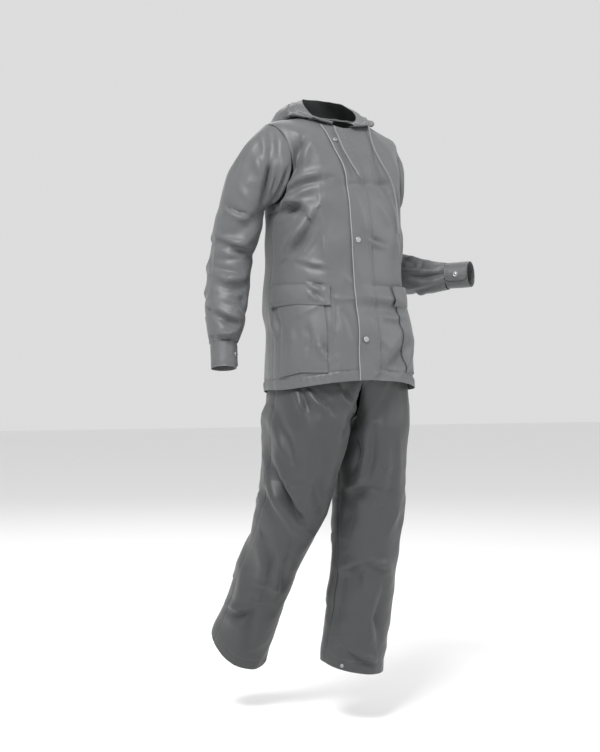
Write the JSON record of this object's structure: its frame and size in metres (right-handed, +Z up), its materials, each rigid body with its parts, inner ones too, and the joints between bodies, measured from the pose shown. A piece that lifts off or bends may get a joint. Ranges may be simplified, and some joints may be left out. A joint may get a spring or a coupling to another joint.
{
  "type": "hooded rain suit",
  "caption": "Worn rain suit: a hooded jacket with storm flap, snaps and flapped pockets over loose trousers, in a walking pose.",
  "frame": {"origin": "middle of the wearer's shoulders under the base of the hood, where the wearer carries the suit", "axes": "+Z up, -Y the way the wearer walks, +X the wearer's left"},
  "size_m": [0.7015, 0.5043, 1.357],
  "materials": {
    "coated_nylon": "dark grey coated taffeta with a soft sheen",
    "trouser_nylon": "darker grey coated taffeta with a soft sheen",
    "piping_nylon": "light grey woven piping",
    "braided_cord": "light grey braided cord",
    "snap_metal": "pale plated snap caps, smooth"
  },
  "bodies": {
    "root": {"ankle_snap_left": "snap_metal", "ankle_snap_right": "snap_metal", "cuff_left": "coated_nylon", "cuff_right": "coated_nylon", "cuff_snap_left": "snap_metal", "cuff_snap_right": "snap_metal", "drawcord_left": "braided_cord", "drawcord_right": "braided_cord", "flap_piping": "piping_nylon", "hood_left": "coated_nylon", "hood_right": "coated_nylon", "jacket_back": "coated_nylon", "jacket_front_left": "coated_nylon", "jacket_front_right": "coated_nylon", "pocket_flap_left": "coated_nylon", "pocket_flap_right": "coated_nylon", "pocket_left": "coated_nylon", "pocket_right": "coated_nylon", "sleeve_left": "coated_nylon", "sleeve_right": "coated_nylon", "snap_bottom": "snap_metal", "snap_middle": "snap_metal", "snap_top": "snap_metal", "storm_flap": "coated_nylon", "trouser_back_left": "trouser_nylon", "trouser_back_right": "trouser_nylon", "trouser_front_left": "trouser_nylon", "trouser_front_right": "trouser_nylon", "waistband": "trouser_nylon"}
  },
  "joints": []
}
